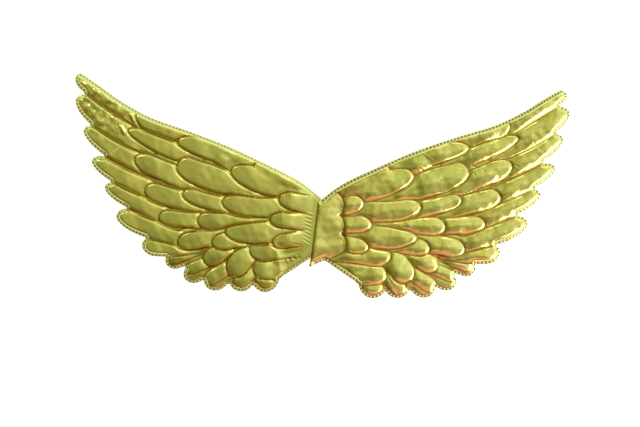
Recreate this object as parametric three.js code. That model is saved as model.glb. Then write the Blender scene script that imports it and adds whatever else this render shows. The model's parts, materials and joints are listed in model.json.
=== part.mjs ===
// A pair of padded costume wings, lying on their back, in millimetres with +Z up.
//
// Each wing is one panel of foil cloth pressed onto soft foam. Feathers are raised pads, and the
// grooves between them are pressed almost flat. The two wings are cut to one pattern and mirrored.
// The right root panel laps over the thin root of the left wing.
//
// The pattern's own frame has x outwards from the middle of the back, y towards the wing tips,
// and its zero at the notch where the two leading edges meet.
import * as THREE from 'three';

// Thicknesses of the pressed panel.
const CROWN = 7.2; // top of a padded feather
const GROOVE = 2.2; // bottom of the groove between two feathers
const HEM = 1.6; // stitched edge all round
const HEM_WIDTH = 2.4; // flat border outside the padding
const SHOULDER = 6.5; // distance over which a pad rises from groove to crown

// Gold foil on the cloth.
const FOIL = { color: 0xb0a552, metalness: 1, roughness: 0.25 };

// The lap at the root.
const LAP_RISE = 2.2; // height of the right panel's back above the floor at its root edge
const LAP_CLEAR = 2.0; // the left root stays thin for this far past the fold
const LAP_SLOPE = 9.0; // then it rises to full height over this distance
const PLAIN_ROOT = { from: 8, to: 18 }; // the left grooves fade in over these distances from the fold
const FOLD_TOP = { x: 2.0, y: 0 }; // folded edge of the right panel, in the left wing's frame
const FOLD_FOOT = { x: 11.5, y: -70 };

// Gathers of the left root, short ridges that fan out from the fold.
const GATHERS = {
  count: 9,
  top: -19, // y of the first ridge at the fold
  pitch: 4.6,
  topSlope: 0.3, // rise of the first ridge away from the fold
  footSlope: 0.75, // and of the last one
  height: 0.8,
  near: 2.5, // the ridges start this far from the fold
  nearFade: 3, // and swell to their height over this length
  far: 13, // and end here
  farFade: 5,
};

// Creases pressed into single feathers, each a straight valley from one point to another.
const CREASE_WIDTH = 4.5; // from the bottom of the valley to its rim
const CREASES = [
  { wing: 'left_wing', fromX: 46.6, fromY: -60.7, toX: 41.5, toY: -86.5, depth: 1.5 },
  { wing: 'left_wing', fromX: 122.8, fromY: -96.8, toX: 109.4, toY: -91, depth: 1.2 },
  { wing: 'right_wing', fromX: 71.2, fromY: -72.1, toX: 90.6, toY: -102.2, depth: 2.2 },
  { wing: 'right_wing', fromX: 56.6, fromY: -85.3, toX: 52.6, toY: -95, depth: 1.5 },
];

// The root edge of the pattern, a straight cut from the notch to the lower corner.
const ROOT_TOP = { x: -3.5, y: 2 };
const ROOT_FOOT = { x: -9.5, y: -71 };

// Leading edge of the pattern, from the notch to the wing tip.
const LEADING_EDGE = [
  { x: -12, y: -8 },
  { x: 0, y: 2.5 },
  { x: 23, y: 20.5 },
  { x: 57, y: 38 },
  { x: 104, y: 60 },
  { x: 150, y: 78 },
  { x: 196, y: 94.5 },
  { x: 231, y: 114 },
  { x: 254, y: 130.5 },
  { x: 279, y: 147.5 },
  { x: 296, y: 159 },
];

// Feathers from the uppermost layer down: a feather hides the ones after it.
// A feather runs from its root to its tip along a slightly bowed centre line, with the same half
// width all along except over the rounded tip. Bow is positive towards the wing tip side.
const COLUMNS = ['name', 'rootX', 'rootY', 'tipX', 'tipY', 'half', 'bow', 'tipAbove', 'tipBelow'];
const FEATHERS = [
  // root panel, three scallops
  ['panel_upper', -16, -9, 25.5, 0, 14, 0, 11.5, 11.5],
  ['panel_middle', -18.5, -31, 27, -24, 12.5, 0, 9, 9],
  ['panel_lower', -18.5, -63.5, 29, -41.5, 13, 0, 10.5, 10.5],
  // short feathers next to the root
  ['inner_1', -6, -10.5, 48.5, 0.5, 10.5, 0, 14, 14],
  ['inner_2', 2.5, -26.5, 58.5, -24, 10, 0, 14, 14],
  ['inner_3', 2.5, -42.5, 56, -51, 9.5, 0, 15, 15],
  ['inner_4', 32.5, -9, 113.5, -3, 12, -3.5, 22, 22],
  ['inner_5', 34.5, -33.5, 112, -36.5, 14, -4.5, 44, 44],
  // middle row
  ['middle_1', 17.5, 4.5, 104, 33.5, 14, -1.5, 25.5, 25.5],
  ['middle_2', 86.5, 45, 165.5, 66.5, 12, 0, 34.5, 34.5],
  ['middle_3', 67, 10.5, 165.5, 40.5, 14.5, -3.5, 23, 23],
  ['middle_4', 75, -10.5, 159, 7.5, 10.5, -3.5, 18.5, 18.5],
  ['middle_5', 63.5, -17.5, 142, -26, 11, -1, 16, 16],
  ['middle_6', 67, -42.5, 124.5, -51, 10, 0, 15, 15],
  // outer row, from the lower edge round to the leading edge
  ['outer_9', 9, -53, 81.5, -62.5, 14, 0, 14, 14],
  ['outer_8', 75, -51, 105, -89, 13.5, 0, 15, 15],
  ['outer_7', 85.5, -47.5, 134, -72.5, 10.5, 0, 11.5, 11.5],
  ['outer_1', 138.5, 70.5, 214.5, 99, 13.5, -1, 19.5, 19.5],
  ['outer_2', 144, 47.5, 222, 79.5, 11.5, -1.5, 34.5, 34.5],
  ['outer_3', 138.5, 15, 216.5, 45.5, 12, 1, 17.5, 17.5],
  ['outer_4', 121, -6, 205, 13.5, 11.5, -4, 18.5, 18.5],
  ['outer_5', 106, -23, 187, -21.5, 11, -1.5, 18.5, 18.5],
  ['outer_6', 101.5, -40.5, 164, -51, 11, 0, 16, 16],
  ['outer_10', 24, -61, 79, -82, 14, -1.5, 11.5, 11.5],
  // long feathers along the free edge
  ['long_1', 201, 86.5, 281, 142.5, 10.5, 0, 16, 16],
  ['long_2', 196, 62.5, 281, 116.5, 13, -4.3, 14, 32],
  ['long_3', 187, 33.5, 274, 81.5, 11.5, -4, 12, 39],
  ['long_4', 179, 4.5, 264.5, 45.5, 10.7, -2.3, 12, 35],
  ['long_5', 161.5, -25.5, 249, 15, 10.4, -1.2, 12, 32],
  ['long_6', 132.5, -47.5, 235, -19, 12, -3.5, 12, 35],
  ['long_7', 138.5, -50.5, 205.5, -53.5, 11, -3.5, 14, 14],
  ['long_8', 131.5, -55.5, 178, -74, 10.5, -1, 11.5, 11.5],
  ['long_9', 101.5, -61, 156.5, -91.5, 11.5, -1, 14, 14],
  ['long_10', 86.5, -62.5, 131, -101.5, 14, 0, 16, 16],
  ['long_11', 74, -61, 98, -105, 15, 0, 15, 15],
  ['long_12', 60, -64.5, 65, -107.5, 16.5, 0, 18.5, 18.5],
  // plain cloth that shows in slivers between the feathers
  ['web_root', 8, -61, 55, -95, 6, 0, 8, 8],
  ['web_upper', 5, -5, 215, 80, 25, 0, 20, 20],
  ['web_middle', 60, -20, 215, 32, 18, 0, 20, 20],
  ['web_tip_1', 190, 72, 266, 119, 8, 0, 10, 10],
  ['web_tip_2', 185, 45, 258, 83, 8, 0, 10, 10],
].map((row) => Object.fromEntries(COLUMNS.map((column, i) => [column, row[i]])));
const PANEL_SCALLOPS = 3; // the first rows of the table are one plain pad
const SAME_PAD = 0.2; // an edge this far inside another scallop is no groove

// How the two panels lie. The right one was sewn on a little lower and turned, is slightly
// stretched and leaning, and its tip is pulled in and down.
const WINGS = [
  {
    name: 'left_wing',
    side: -1,
    lapsOver: false,
    stretch: 1,
    turn: 0, // degrees
    lean: 0, // x for each y
    shiftX: 0,
    shiftY: 0,
    tipInX: 0,
    tipDownY: 0,
  },
  {
    name: 'right_wing',
    side: 1,
    lapsOver: true,
    stretch: 1.02,
    turn: -1.2,
    lean: 0.025,
    shiftX: 1.2,
    shiftY: -3.5,
    tipInX: 11,
    tipDownY: 12.5,
  },
];
const TIP_PULL_FROM = 30; // the pull on the tip starts at this y
const TIP_PULL_SPAN = 112; // and is whole this much further out
const TIP_PULL_POWER = 2.2; // how late it sets in

// Spacing of the mesh points.
const FINE_STEP = 1; // for tracing a feather's side
const TIP_TRACE = 60; // points for tracing half a tip
const CUT_TRACE = 400; // points for tracing the leading edge or the root edge
const CUT_OVERRUN = 0.15; // the root edge is traced past its ends by this share of its length
const TIP_STEP = 4.5; // points round a feather's tip
const SIDE_STEP = 8; // points along a feather's sides and the leading edge
const PAD_INSET = 4.2; // a second line of points beside each groove
const SPINE_STEP = 8; // points along a feather's middle
const CREASE_STEP = 6; // points along a crease
const LAP_STEP = 2.4; // points along the lap
const CLOSEST = 2.2; // least distance between points on outlines and grooves
const CLOSEST_FOLD = 1.7; // between points on gathers and creases
const CLOSEST_PAD = 3.1; // between points on a pad's slope
const HEM_DEPTH = 1.9; // points inside the hem lie at least this deep
const SPINE_DEPTH = 4.4; // a middle line keeps this far from every groove
const NOTCH_FILL = 0.5; // a notch shallower than this is closed
const TINY = 1e-9; // keeps a division by zero away
const FAR_AWAY = 1e5; // corners of the triangle that the mesh starts from

// Frame of a feather: length, direction and the direction across it.
for (const feather of FEATHERS) {
  const dx = feather.tipX - feather.rootX;
  const dy = feather.tipY - feather.rootY;
  feather.length = Math.hypot(dx, dy);
  feather.along = { x: dx / feather.length, y: dy / feather.length };
  feather.across = { x: -feather.along.y, y: feather.along.x };
}

// Height of the bowed centre line above the chord, a parabola.
function bowAt(feather, a) {
  const u = THREE.MathUtils.clamp(a / feather.length, 0, 1);
  return 4 * feather.bow * u * (1 - u);
}

// Point of a feather's plan at distance a along it and b across it.
function featherPoint(feather, a, b) {
  const { along, across, rootX, rootY } = feather;
  const offset = b + bowAt(feather, a);
  return { x: rootX + a * along.x + offset * across.x, y: rootY + a * along.y + offset * across.y };
}

// How far a point lies inside a feather's edge, negative outside. The edge is two straight sides,
// an elliptical tip and a round root.
function depthIn(feather, x, y) {
  const dx = x - feather.rootX;
  const dy = y - feather.rootY;
  const a = dx * feather.along.x + dy * feather.along.y;
  const b = dx * feather.across.x + dy * feather.across.y - bowAt(feather, a);
  const tipLength = b > 0 ? feather.tipAbove : feather.tipBelow;
  const tip = Math.max(a - (feather.length - tipLength), 0) / tipLength;
  const root = Math.max(-a, 0) / feather.half;
  const side = b / feather.half;
  const reach = Math.hypot(tip, root, side) + TINY;
  const slope = Math.hypot(tip / tipLength, root / feather.half, side / feather.half);
  return ((1 - reach) * reach) / (slope + TINY / feather.half);
}

// The leading edge as a smooth curve, and its height at any x.
const leadingCurve = new THREE.SplineCurve(LEADING_EDGE.map((p) => new THREE.Vector2(p.x, p.y)));
const leadingPoints = leadingCurve.getPoints(CUT_TRACE);
function leadingHeight(x) {
  const i = leadingPoints.findIndex((p) => p.x >= x);
  if (i <= 0) {
    return i === 0 ? leadingPoints[0].y : leadingPoints.at(-1).y;
  }
  const low = leadingPoints[i - 1];
  const high = leadingPoints[i];
  return THREE.MathUtils.mapLinear(x, low.x, high.x, low.y, high.y);
}
function depthUnderLeadingEdge(x, y) {
  const slope = (leadingHeight(x + 1) - leadingHeight(x - 1)) / 2;
  return (leadingHeight(x) - y) / Math.hypot(1, slope);
}

// Distance to the outer side of a straight cut from top to foot.
function depthBesideCut(top, foot, x, y) {
  const dx = foot.x - top.x;
  const dy = foot.y - top.y;
  return ((x - top.x) * -dy + (y - top.y) * dx) / Math.hypot(dx, dy);
}

// How far a point lies inside the straight cuts, the leading edge and the root edge.
function depthInCuts(x, y) {
  return Math.min(depthUnderLeadingEdge(x, y), depthBesideCut(ROOT_TOP, ROOT_FOOT, x, y));
}

// How far a point lies inside the whole panel.
function depthInPanel(x, y) {
  const feathers = Math.max(...FEATHERS.map((feather) => depthIn(feather, x, y)));
  return Math.min(feathers, depthInCuts(x, y));
}

// Distance from a point to the nearest groove of the pad that it lies on. The scallops of the root
// panel show only on the right wing. On the left one the panel is pulled flat.
function depthInPad(wing, x, y) {
  let nearest = Infinity;
  if (wing.lapsOver) {
    const scallops = FEATHERS.slice(0, PANEL_SCALLOPS);
    const panel = Math.max(...scallops.map((feather) => depthIn(feather, x, y)));
    if (panel >= 0) {
      return panel;
    }
    nearest = -panel;
  }
  for (const feather of FEATHERS.slice(PANEL_SCALLOPS)) {
    const depth = depthIn(feather, x, y);
    nearest = Math.min(nearest, Math.abs(depth));
    if (depth >= 0) {
      return nearest;
    }
  }
  return 0;
}

// A pad's rise from 0 at its edge to 1 at its crown, steep at first.
function rise(distance) {
  const u = THREE.MathUtils.clamp(distance / SHOULDER, 0, 1);
  return 1 - (1 - u) ** 2;
}

// Distance of a point of the left wing from the folded edge that lies over its root.
function depthBesideFold(x, y) {
  return depthBesideCut(FOLD_TOP, FOLD_FOOT, x, y);
}

// The gathers' ridges and valleys: a cosine across the fan, faded out at its ends and sides.
function gatherHeight(x, y) {
  const fromFold = depthBesideFold(x, y);
  const span = GATHERS.pitch * (GATHERS.count - 1);
  const down = THREE.MathUtils.clamp((GATHERS.top - y) / span, 0, 1);
  const slope = THREE.MathUtils.lerp(GATHERS.topSlope, GATHERS.footSlope, down);
  const turn = (GATHERS.top + slope * fromFold - y) / GATHERS.pitch;
  const first = THREE.MathUtils.smoothstep(turn, -0.5, 0);
  const last = THREE.MathUtils.smoothstep(GATHERS.count - 0.5 - turn, 0, 0.5);
  const start = THREE.MathUtils.smoothstep(fromFold, GATHERS.near, GATHERS.near + GATHERS.nearFade);
  const end = 1 - THREE.MathUtils.smoothstep(fromFold, GATHERS.far - GATHERS.farFade, GATHERS.far);
  return GATHERS.height * Math.cos(2 * Math.PI * turn) * first * last * start * end;
}

// Depth of the wing's creases at a point: whole on a crease's line, none a crease's width away.
function creaseDepth(wing, x, y) {
  let depth = 0;
  for (const crease of CREASES.filter((row) => row.wing === wing.name)) {
    const line = new THREE.Line3(
      new THREE.Vector3(crease.fromX, crease.fromY, 0),
      new THREE.Vector3(crease.toX, crease.toY, 0),
    );
    const point = new THREE.Vector3(x, y, 0);
    const distance = line.closestPointToPoint(point, true, new THREE.Vector3()).distanceTo(point);
    depth += crease.depth * (1 - THREE.MathUtils.smoothstep(distance, 0, CREASE_WIDTH));
  }
  return depth;
}

// Thickness of a panel at a point of the pattern.
function thickness(wing, x, y) {
  const edgeRise = rise(depthInPanel(x, y) - HEM_WIDTH);
  const padRise = rise(depthInPad(wing, x, y));
  const crease = creaseDepth(wing, x, y);
  if (wing.lapsOver) {
    const pad = GROOVE + (CROWN - GROOVE) * padRise - crease;
    return Math.max(HEM + (pad - HEM) * edgeRise, HEM);
  }
  const fromFold = depthBesideFold(x, y);
  const grooved = THREE.MathUtils.smoothstep(fromFold, PLAIN_ROOT.from, PLAIN_ROOT.to);
  const pad = GROOVE + (CROWN - GROOVE) * THREE.MathUtils.lerp(1, padRise, grooved) - crease;
  const pastLap = THREE.MathUtils.smoothstep(fromFold - LAP_CLEAR, 0, LAP_SLOPE);
  return Math.max(HEM + (pad - HEM) * edgeRise * pastLap + gatherHeight(x, y), HEM);
}

// A point of the pattern where it lies on the finished pair.
function placed(wing, x, y) {
  const pull = (Math.max(y - TIP_PULL_FROM, 0) / TIP_PULL_SPAN) ** TIP_PULL_POWER;
  const pulledX = wing.stretch * x + wing.lean * y - wing.tipInX * pull;
  const pulledY = wing.stretch * y - wing.tipDownY * pull;
  const point = new THREE.Vector2(pulledX, pulledY);
  point.rotateAround(new THREE.Vector2(), THREE.MathUtils.degToRad(wing.turn));
  return { x: wing.side * (point.x + wing.shiftX), y: point.y + wing.shiftY };
}

// One feather's edge from root to tip and back, as finely spaced points with outward directions.
function featherEdge(feather) {
  const side = (sign, tipLength) => {
    const straight = feather.length - tipLength;
    const steps = Math.ceil(straight / FINE_STEP);
    const points = [];
    for (let i = 0; i < steps; i += 1) {
      points.push({ a: (straight * i) / steps, b: sign * feather.half, tip: false });
    }
    for (let i = 0; i < TIP_TRACE; i += 1) {
      const angle = (i / TIP_TRACE) * (Math.PI / 2);
      const a = straight + tipLength * Math.sin(angle);
      points.push({ a, b: sign * feather.half * Math.cos(angle), tip: true });
    }
    return points;
  };
  const above = side(1, feather.tipAbove);
  const below = side(-1, feather.tipBelow).reverse();
  const edge = [...above, { a: feather.length, b: 0, tip: true }, ...below].map((p) => (
    { ...featherPoint(feather, p.a, p.b), tip: p.tip }
  ));
  edge.forEach((p, i) => {
    const before = edge[Math.max(i - 1, 0)];
    const after = edge[Math.min(i + 1, edge.length - 1)];
    const length = Math.hypot(after.x - before.x, after.y - before.y);
    p.outX = -(after.y - before.y) / length;
    p.outY = (after.x - before.x) / length;
  });
  return edge;
}

// Runs of an edge on which a test gives one answer, as points at the mesh's spacing.
function spacedRuns(edge, keep) {
  const points = [];
  let travelled = Infinity;
  edge.forEach((p, i) => {
    const kept = keep(p);
    const ends = i + 1 === edge.length || keep(edge[i + 1]) !== kept;
    if (i > 0) {
      travelled += Math.hypot(p.x - edge[i - 1].x, p.y - edge[i - 1].y);
    }
    if (!kept) {
      travelled = Infinity;
      return;
    }
    if (travelled >= (p.tip ? TIP_STEP : SIDE_STEP) || ends) {
      points.push(p);
      travelled = 0;
    }
  });
  return points;
}

// A point of the left wing at a height y and a distance from the fold.
function pointBesideFold(y, fromFold) {
  const x = THREE.MathUtils.mapLinear(y, FOLD_TOP.y, FOLD_FOOT.y, FOLD_TOP.x, FOLD_FOOT.x);
  return { x: x + fromFold, y };
}

// Points of the left root: a line where the lap ends, then the crests and valleys of the gathers.
function gatherPoints() {
  const steps = Math.ceil((FOLD_TOP.y - FOLD_FOOT.y) / LAP_STEP);
  const points = Array.from({ length: steps + 1 }, (_, i) => (
    pointBesideFold(THREE.MathUtils.lerp(FOLD_TOP.y, FOLD_FOOT.y, i / steps), LAP_CLEAR)
  ));
  const distances = [
    GATHERS.near + GATHERS.nearFade / 2,
    (GATHERS.near + GATHERS.far) / 2,
    GATHERS.far - GATHERS.farFade / 2,
  ];
  for (let turn = 0; turn <= GATHERS.count - 1; turn += 0.5) {
    const slope = THREE.MathUtils.lerp(GATHERS.topSlope, GATHERS.footSlope, turn / (GATHERS.count - 1));
    for (const fromFold of distances) {
      points.push(pointBesideFold(GATHERS.top + slope * fromFold - turn * GATHERS.pitch, fromFold));
    }
  }
  return points;
}

// Points along the bottoms and the rims of one wing's creases.
function creasePoints(wing) {
  const points = [];
  for (const crease of CREASES.filter((row) => row.wing === wing.name)) {
    const dx = crease.toX - crease.fromX;
    const dy = crease.toY - crease.fromY;
    const length = Math.hypot(dx, dy);
    const steps = Math.ceil(length / CREASE_STEP);
    for (let i = 0; i <= steps; i += 1) {
      for (const across of [0, -CREASE_WIDTH, CREASE_WIDTH]) {
        const x = crease.fromX + (dx * i) / steps - (across * dy) / length;
        const y = crease.fromY + (dy * i) / steps + (across * dx) / length;
        points.push({ x, y });
      }
    }
  }
  return points;
}

// The leading edge and the root edge as finely spaced points with outward directions.
function cutEdges() {
  const lead = leadingCurve.getSpacedPoints(CUT_TRACE).map((p) => {
    const slope = leadingHeight(p.x + 1) - leadingHeight(p.x - 1);
    const length = Math.hypot(2, slope);
    return { x: p.x, y: p.y, outX: -slope / length, outY: 2 / length };
  });
  const root = Array.from({ length: CUT_TRACE + 1 }, (_, i) => {
    const t = THREE.MathUtils.lerp(-CUT_OVERRUN, 1 + CUT_OVERRUN, i / CUT_TRACE);
    const x = THREE.MathUtils.lerp(ROOT_TOP.x, ROOT_FOOT.x, t);
    const y = THREE.MathUtils.lerp(ROOT_TOP.y, ROOT_FOOT.y, t);
    return { x, y, outX: -1, outY: 0 };
  });
  return { lead, root };
}

// The outline of a panel and the grooves that show on it, as spaced points.
function outlineAndGrooves(wing) {
  const outline = [];
  const grooves = [];
  const top = wing.lapsOver ? 0 : PANEL_SCALLOPS;
  const within = (feather, p) => depthIn(feather, p.x, p.y) > 0;
  FEATHERS.forEach((feather, layer) => {
    const edge = featherEdge(feather);
    const isScallop = layer < PANEL_SCALLOPS;
    const others = FEATHERS.filter((other) => other !== feather);
    const above = FEATHERS.slice(top, layer);
    const inside = (p) => depthInCuts(p.x, p.y) > 0;
    const covered = (p) => others.some((other) => within(other, p));
    const hidden = (p) => above.some((other) => within(other, p));
    const inPanel = (p) => isScallop
      && FEATHERS.slice(0, PANEL_SCALLOPS).some((other) => depthIn(other, p.x, p.y) > SAME_PAD);
    const plain = (p) => !wing.lapsOver && (isScallop || depthBesideFold(p.x, p.y) < PLAIN_ROOT.from);
    const isGroove = (p) => inside(p) && covered(p) && !hidden(p) && !inPanel(p) && !plain(p);
    outline.push(...spacedRuns(edge, (p) => inside(p) && !covered(p)));
    grooves.push(...spacedRuns(edge, isGroove));
  });
  const inFeathers = (p) => FEATHERS.some((feather) => within(feather, p));
  const { lead, root } = cutEdges();
  const besideRoot = (p) => depthBesideCut(ROOT_TOP, ROOT_FOOT, p.x, p.y) > 0;
  outline.push(...spacedRuns(lead, (p) => inFeathers(p) && besideRoot(p)));
  outline.push(...spacedRuns(root, (p) => inFeathers(p) && depthUnderLeadingEdge(p.x, p.y) > 0));
  return { outline, grooves };
}

// Points of one panel: its outline, hem and grooves, a line on each slope and the feathers' middles.
function patternPoints(wing) {
  const { outline, grooves } = outlineAndGrooves(wing);
  const inset = (p, distance) => ({ x: p.x + p.outX * distance, y: p.y + p.outY * distance });
  const hem = outline.map((p) => inset(p, -HEM_WIDTH));
  const slopes = [
    ...grooves.map((p) => inset(p, -PAD_INSET)),
    ...grooves.map((p) => inset(p, PAD_INSET)),
    ...outline.map((p) => inset(p, -HEM_WIDTH - PAD_INSET)),
  ];
  const spines = FEATHERS.flatMap((feather) => {
    const count = Math.floor(feather.length / SPINE_STEP);
    return Array.from({ length: count }, (_, i) => featherPoint(feather, (i + 0.5) * SPINE_STEP, 0));
  });
  const folds = [...(wing.lapsOver ? [] : gatherPoints()), ...creasePoints(wing)];
  // Each group keeps a distance to the points before it, and lies this deep in the panel and in a pad.
  const groups = [
    { list: outline, apart: CLOSEST, inPanel: -NOTCH_FILL, inPad: 0 },
    { list: folds, apart: CLOSEST_FOLD, inPanel: HEM_WIDTH, inPad: 0 },
    { list: hem, apart: CLOSEST, inPanel: HEM_DEPTH, inPad: 0 },
    { list: grooves, apart: CLOSEST, inPanel: 0, inPad: 0 },
    { list: slopes, apart: CLOSEST_PAD, inPanel: CLOSEST_PAD, inPad: CLOSEST_PAD },
    { list: spines, apart: PAD_INSET, inPanel: SPINE_DEPTH, inPad: SPINE_DEPTH },
  ];
  const points = [];
  for (const { list, apart, inPanel, inPad } of groups) {
    for (const p of list) {
      const deepEnough = depthInPanel(p.x, p.y) >= inPanel && depthInPad(wing, p.x, p.y) >= inPad;
      if (deepEnough && points.every((q) => Math.hypot(p.x - q.x, p.y - q.y) >= apart)) {
        points.push({ x: p.x, y: p.y });
      }
    }
  }
  return points;
}

// Delaunay triangles of a set of points, built up one point at a time.
function delaunay(points) {
  const corners = [{ x: -FAR_AWAY, y: -FAR_AWAY }, { x: FAR_AWAY, y: -FAR_AWAY }, { x: 0, y: FAR_AWAY }];
  const all = [...points, ...corners];
  const count = points.length;
  const withCircle = (a, b, c) => {
    const [p, q, r] = [all[a], all[b], all[c]];
    const d = 2 * ((q.x - p.x) * (r.y - p.y) - (q.y - p.y) * (r.x - p.x));
    const qq = (q.x - p.x) ** 2 + (q.y - p.y) ** 2;
    const rr = (r.x - p.x) ** 2 + (r.y - p.y) ** 2;
    const ux = ((r.y - p.y) * qq - (q.y - p.y) * rr) / d;
    const uy = ((q.x - p.x) * rr - (r.x - p.x) * qq) / d;
    return { corners: [a, b, c], x: p.x + ux, y: p.y + uy, radius: Math.hypot(ux, uy) };
  };
  let triangles = [withCircle(count, count + 1, count + 2)];
  for (let i = 0; i < count; i += 1) {
    const p = all[i];
    const rim = new Map();
    triangles = triangles.filter((triangle) => {
      if (Math.hypot(p.x - triangle.x, p.y - triangle.y) >= triangle.radius) {
        return true;
      }
      const [a, b, c] = triangle.corners;
      for (const [from, to] of [[a, b], [b, c], [c, a]]) {
        const reverse = `${to},${from}`;
        if (!rim.delete(reverse)) {
          rim.set(`${from},${to}`, [from, to]);
        }
      }
      return false;
    });
    for (const [from, to] of rim.values()) {
      triangles.push(withCircle(from, to, i));
    }
  }
  return triangles.map((triangle) => triangle.corners).filter((ids) => ids.every((id) => id < count));
}

// The panel's plan: points, triangles inside the outline, and the outline as a loop of points.
function panelPlan(wing) {
  const points = patternPoints(wing);
  const triangles = delaunay(points).filter((corners) => {
    const x = corners.reduce((sum, c) => sum + points[c].x, 0) / 3;
    const y = corners.reduce((sum, c) => sum + points[c].y, 0) / 3;
    return depthInPanel(x, y) > -NOTCH_FILL;
  });
  const edges = new Map();
  for (const [a, b, c] of triangles) {
    for (const [from, to] of [[a, b], [b, c], [c, a]]) {
      if (!edges.delete(`${to},${from}`)) {
        edges.set(`${from},${to}`, [from, to]);
      }
    }
  }
  const next = new Map([...edges.values()]);
  const loop = [next.keys().next().value];
  while (next.get(loop.at(-1)) !== loop[0]) {
    loop.push(next.get(loop.at(-1)));
  }
  return { points, triangles, loop };
}

// One wing as a closed solid: padded front, flat back and a thin wall round the edge.
function wingGeometry(wing) {
  const { points, triangles, loop } = panelPlan(wing);
  const flat = points.map((p) => placed(wing, p.x, p.y));
  const span = Math.max(...flat.map((p) => Math.abs(p.x)));
  const backHeight = (p) => (wing.lapsOver ? LAP_RISE * (1 - p.x / span) : 0);
  const front = flat.map((p, i) => [p.x, p.y, backHeight(p) + thickness(wing, points[i].x, points[i].y)]);
  const back = loop.map((i) => [flat[i].x, flat[i].y, backHeight(flat[i])]);
  const backStart = points.length;
  const faces = [...triangles];
  loop.forEach((from, i) => {
    const after = (i + 1) % loop.length;
    faces.push([backStart + i, backStart + after, loop[after]], [backStart + i, loop[after], from]);
  });
  const rim = loop.map((i) => new THREE.Vector2(points[i].x, points[i].y));
  for (const [a, b, c] of THREE.ShapeUtils.triangulateShape(rim, [])) {
    faces.push([backStart + c, backStart + b, backStart + a]);
  }
  const outward = wing.side > 0 ? faces : faces.map(([a, b, c]) => [a, c, b]);
  const geometry = new THREE.BufferGeometry();
  geometry.setAttribute('position', new THREE.Float32BufferAttribute([...front, ...back].flat(), 3));
  geometry.setIndex(outward.flat());
  geometry.computeVertexNormals();
  return geometry;
}

// The finished pair, with its origin under the middle of its box.
function costumeWings() {
  const pair = new THREE.Group();
  for (const wing of WINGS) {
    const mesh = new THREE.Mesh(wingGeometry(wing), new THREE.MeshStandardMaterial(FOIL));
    mesh.name = wing.name;
    pair.add(mesh);
  }
  const middle = new THREE.Box3().setFromObject(pair).getCenter(new THREE.Vector3());
  pair.position.set(-middle.x, -middle.y, 0);
  return pair;
}

export default costumeWings();
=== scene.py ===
# %% [markdown]
# A pair of costume wings: foil cloth pressed over soft foam, so that every feather is a shiny pad
# and every groove a thin dark line. The wings lie on their back, and the right root laps over the
# left one. The frame holds the two panels at their real size. Here they get the surface that the
# eye sees: crisp grooves, springy pads, gathers, a stitched hem and mirror-like gold.

# %% Load the frame
import json

import bpy
import numpy as np
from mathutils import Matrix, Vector
from mathutils.geometry import delaunay_2d_cdt

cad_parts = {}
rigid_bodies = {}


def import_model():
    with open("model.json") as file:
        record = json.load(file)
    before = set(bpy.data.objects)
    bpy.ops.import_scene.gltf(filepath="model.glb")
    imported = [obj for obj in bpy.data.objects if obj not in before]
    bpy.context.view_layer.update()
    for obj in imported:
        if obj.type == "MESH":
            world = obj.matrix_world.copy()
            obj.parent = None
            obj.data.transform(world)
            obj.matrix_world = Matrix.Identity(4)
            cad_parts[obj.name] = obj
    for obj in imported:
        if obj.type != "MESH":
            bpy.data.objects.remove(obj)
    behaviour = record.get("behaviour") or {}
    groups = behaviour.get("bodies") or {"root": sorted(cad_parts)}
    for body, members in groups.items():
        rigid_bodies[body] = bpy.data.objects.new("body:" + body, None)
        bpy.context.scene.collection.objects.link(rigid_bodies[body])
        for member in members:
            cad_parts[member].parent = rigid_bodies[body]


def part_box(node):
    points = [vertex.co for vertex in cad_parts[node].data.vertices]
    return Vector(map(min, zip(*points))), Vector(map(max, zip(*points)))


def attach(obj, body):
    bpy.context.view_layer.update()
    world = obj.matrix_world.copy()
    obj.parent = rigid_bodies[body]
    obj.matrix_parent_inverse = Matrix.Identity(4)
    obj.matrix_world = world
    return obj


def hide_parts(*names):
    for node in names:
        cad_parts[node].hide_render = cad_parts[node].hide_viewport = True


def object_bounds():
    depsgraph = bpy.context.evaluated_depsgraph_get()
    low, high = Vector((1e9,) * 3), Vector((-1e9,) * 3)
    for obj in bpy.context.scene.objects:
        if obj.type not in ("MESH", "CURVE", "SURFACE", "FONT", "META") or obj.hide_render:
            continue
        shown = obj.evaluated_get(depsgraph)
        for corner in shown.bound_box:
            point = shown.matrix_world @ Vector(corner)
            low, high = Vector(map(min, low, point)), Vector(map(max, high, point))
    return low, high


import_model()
cad_low, cad_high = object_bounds()
MM = 0.001
print("frame box in mm", [round(side / MM, 1) for side in cad_high - cad_low])

# %% [markdown]
# Both wings are cut to one pattern. Its frame has x outwards from the middle of the back, y towards
# the wing tips and zero at the notch where the leading edges meet. A feather needs only eight
# numbers: root, tip, half width, the bow of its centre line and the length of its rounded tip above
# and below that line. The rows go from the uppermost layer down, since a feather hides later ones.

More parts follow.
